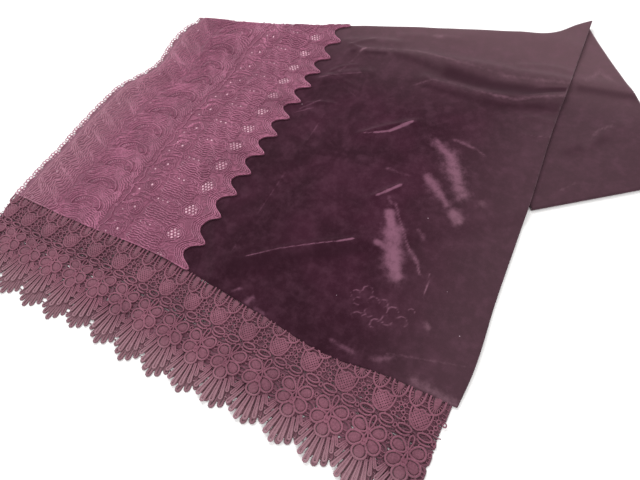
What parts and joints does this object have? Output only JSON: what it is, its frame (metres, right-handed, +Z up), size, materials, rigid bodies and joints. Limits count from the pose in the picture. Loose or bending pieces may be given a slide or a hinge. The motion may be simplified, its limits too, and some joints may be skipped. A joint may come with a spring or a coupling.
{
  "type": "folded evening stole",
  "caption": "Plum velvet evening stole with a corded lace side band and guipure end borders, folded and lying flat.",
  "frame": {"origin": "centre of the bounding box's bottom face, on the surface that the stole lies on", "axes": "+X along the border seam, to the right in the picture's upright view; +Y from the border up the panel; +Z up from the surface"},
  "size_m": [0.7537, 0.675, 0.0161],
  "materials": {
    "velvet_inside": "matte, napped",
    "velvet": "soft nap with a cloudy sheen",
    "velvet_turned": "soft nap with a cloudy sheen",
    "corded_lace": "matte corded lace",
    "corded_lace_back": "matte corded lace",
    "guipure": "matte cord lace",
    "guipure_back": "matte cord lace"
  },
  "bodies": {
    "root": {"hidden_layers": "velvet_inside", "velvet_panel": "velvet", "velvet_turned_half": "velvet_turned", "lace_band": "corded_lace", "lace_band_back": "corded_lace_back", "guipure_front": "guipure", "guipure_back": "guipure_back"}
  },
  "joints": []
}
